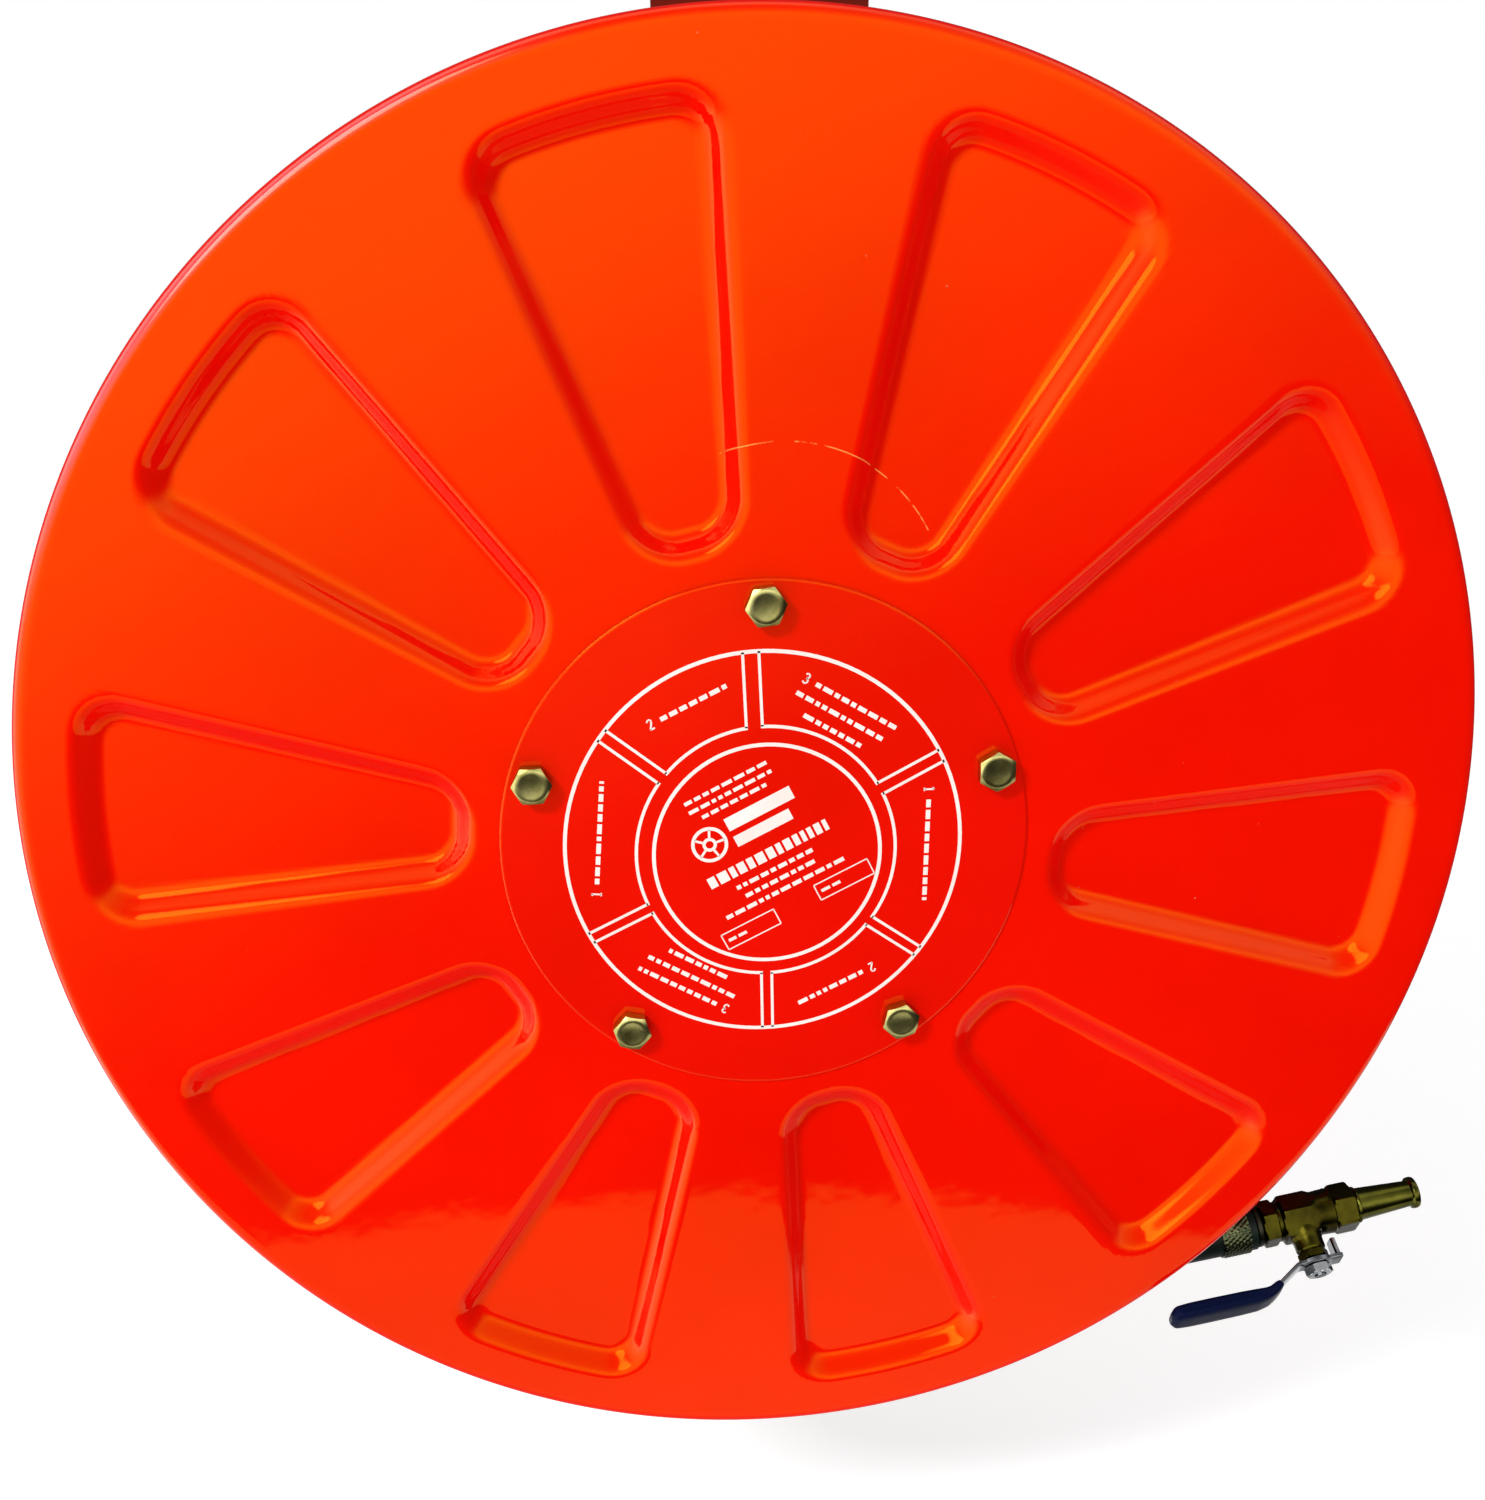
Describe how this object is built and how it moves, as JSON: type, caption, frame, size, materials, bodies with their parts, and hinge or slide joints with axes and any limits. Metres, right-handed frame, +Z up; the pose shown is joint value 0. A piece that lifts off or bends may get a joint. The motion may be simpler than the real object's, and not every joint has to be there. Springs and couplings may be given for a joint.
{
  "type": "fire hose reel",
  "caption": "Wall-mounted hose reel: a drum of two pressed discs turns on a hollow water spindle fed through a stop valve; the wound hose ends in a brass jet with a lever ball valve.",
  "frame": {"origin": "the point where the drum's axis meets the wall, on the flat back face of the wall bracket", "axes": "+Y into the wall along the drum axis (the front disc looks along -Y), +X to the right seen from the front, +Z up"},
  "size_m": [0.5622, 0.203, 0.6657],
  "materials": {
    "red_enamel": "glossy fire-red enamel",
    "label_plate": null,
    "zinc_bolt": "yellow-passivated zinc",
    "galvanised": "galvanised",
    "hub_aluminium": "cast and machined",
    "hose": "matt black-green, slightly dusty",
    "blue_vinyl": "dipped vinyl, satin",
    "nylon": "natural",
    "seal_rubber": "matt",
    "chrome": "bright",
    "steel": "bright zinc",
    "brass": "turned brass, darkened in places"
  },
  "bodies": {
    "base": {"front_thrust_washer": "brass", "inlet_riser": "galvanised", "rear_thrust_washer": "brass", "retaining_ring": "steel", "spindle": "galvanised", "spindle_bolt_1": "steel", "spindle_bolt_2": "steel", "spindle_bolt_3": "steel", "spindle_bolt_4": "steel", "stop_valve_body": "brass", "stop_valve_end_piece": "brass", "stop_valve_gland_nut": "brass", "stop_valve_seat_1": "nylon", "stop_valve_seat_2": "nylon", "wall_bracket": "red_enamel"},
    "drum": {"drum_barrel": "red_enamel", "drum_hose_clamp": "steel", "drum_outlet_bend": "brass", "front_bolt_1": "zinc_bolt", "front_bolt_2": "zinc_bolt", "front_bolt_3": "zinc_bolt", "front_bolt_4": "zinc_bolt", "front_bolt_5": "zinc_bolt", "front_bush": "nylon", "front_disc": "red_enamel", "front_seal": "seal_rubber", "hose": "hose", "hose_ferrule": "brass", "hose_tail": "brass", "jet_nozzle": "brass", "label_plate": "label_plate", "nozzle_valve_body": "brass", "nozzle_valve_end_piece": "brass", "nozzle_valve_gland_nut": "brass", "nozzle_valve_seat_1": "nylon", "nozzle_valve_seat_2": "nylon", "rear_bolt_1": "zinc_bolt", "rear_bolt_2": "zinc_bolt", "rear_bolt_3": "zinc_bolt", "rear_bolt_4": "zinc_bolt", "rear_bolt_5": "zinc_bolt", "rear_bush": "nylon", "rear_disc": "red_enamel", "rear_seal": "seal_rubber", "water_hub": "hub_aluminium"},
    "nozzle_key": {"nozzle_valve_ball": "chrome", "nozzle_valve_stem": "steel", "nozzle_valve_lever": "steel", "nozzle_valve_lever_nut": "chrome", "nozzle_valve_grip": "blue_vinyl"},
    "stop_key": {"stop_valve_ball": "chrome", "stop_valve_stem": "steel", "stop_valve_lever": "steel", "stop_valve_lever_nut": "chrome", "stop_valve_grip": "blue_vinyl"}
  },
  "joints": [
    {"name": "drum_spin", "type": "hinge", "parent": "base", "child": "drum", "pos_m": [0, 0, 0], "axis": [0, 1, 0], "continuous": true},
    {"name": "nozzle_lever", "type": "hinge", "parent": "drum", "child": "nozzle_key", "pos_m": [0.23951, -0.16905, -0.18885], "axis": [-0.1138, 0.8192, 0.5622], "range_deg": [0, 90]},
    {"name": "stop_valve_lever", "type": "hinge", "parent": "base", "child": "stop_key", "pos_m": [0, -0.034, -0.312], "axis": [0, 1, 0], "range_deg": [0, 90]}
  ]
}
